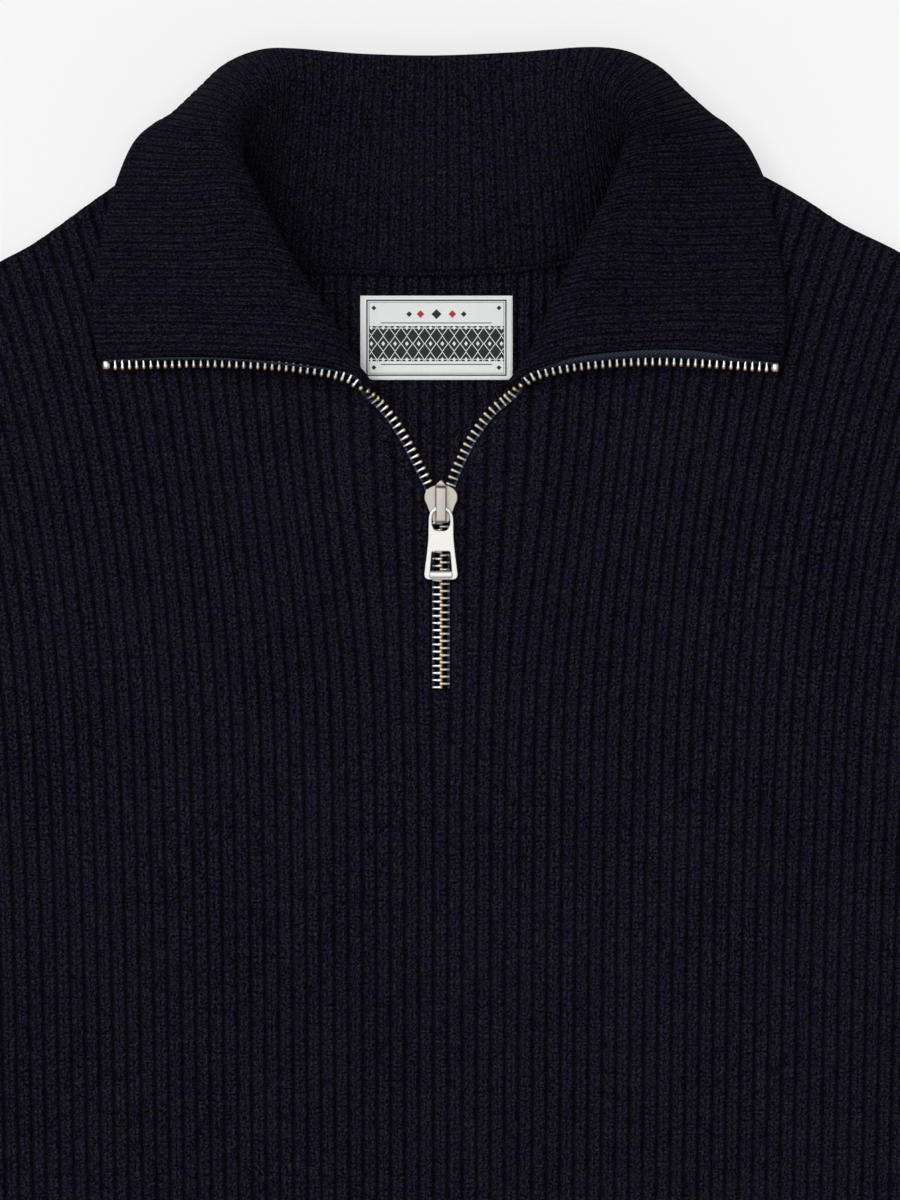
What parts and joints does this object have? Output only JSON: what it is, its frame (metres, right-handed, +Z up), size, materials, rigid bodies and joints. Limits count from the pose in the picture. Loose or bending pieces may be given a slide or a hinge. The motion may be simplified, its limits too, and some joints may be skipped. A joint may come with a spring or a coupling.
{
  "type": "half-zip rib sweater",
  "caption": "Heavy rib-knit half-zip sweater laid flat on its back, its tall collar spread open and the pull hinged on the slider.",
  "frame": {"origin": "middle of the base of the garment as it lies, on the surface that it rests on", "axes": "+Z up from the surface, +Y up the garment from the waist band to the collar, +X across it to the sleeve that lies on the right in the view from above"},
  "size_m": [1.1698, 0.722, 0.0483],
  "materials": {
    "knit": "matt, heavy rib in dark navy wool",
    "zip_tape": "woven herringbone tape in dark navy",
    "zip_metal": "polished nickel with a warm tint",
    "label": "woven satin label"
  },
  "bodies": {
    "garment": {"front_panel": "knit", "back_panel": "knit", "hem_front": "knit", "hem_back": "knit", "collar": "knit", "sleeve_left": "knit", "cuff_left": "knit", "zip_tape_left": "zip_tape", "zip_chain_left": "zip_metal", "sleeve_right": "knit", "cuff_right": "knit", "zip_tape_right": "zip_tape", "zip_chain_right": "zip_metal", "slider": "zip_metal", "neck_label": "label"},
    "pull": {"pull": "zip_metal"}
  },
  "joints": [
    {"name": "pull_flip", "type": "hinge", "parent": "garment", "child": "pull", "pos_m": [0, 0.15865, 0.01115], "axis": [-1, 0, 0], "range_deg": [0, 150]}
  ]
}
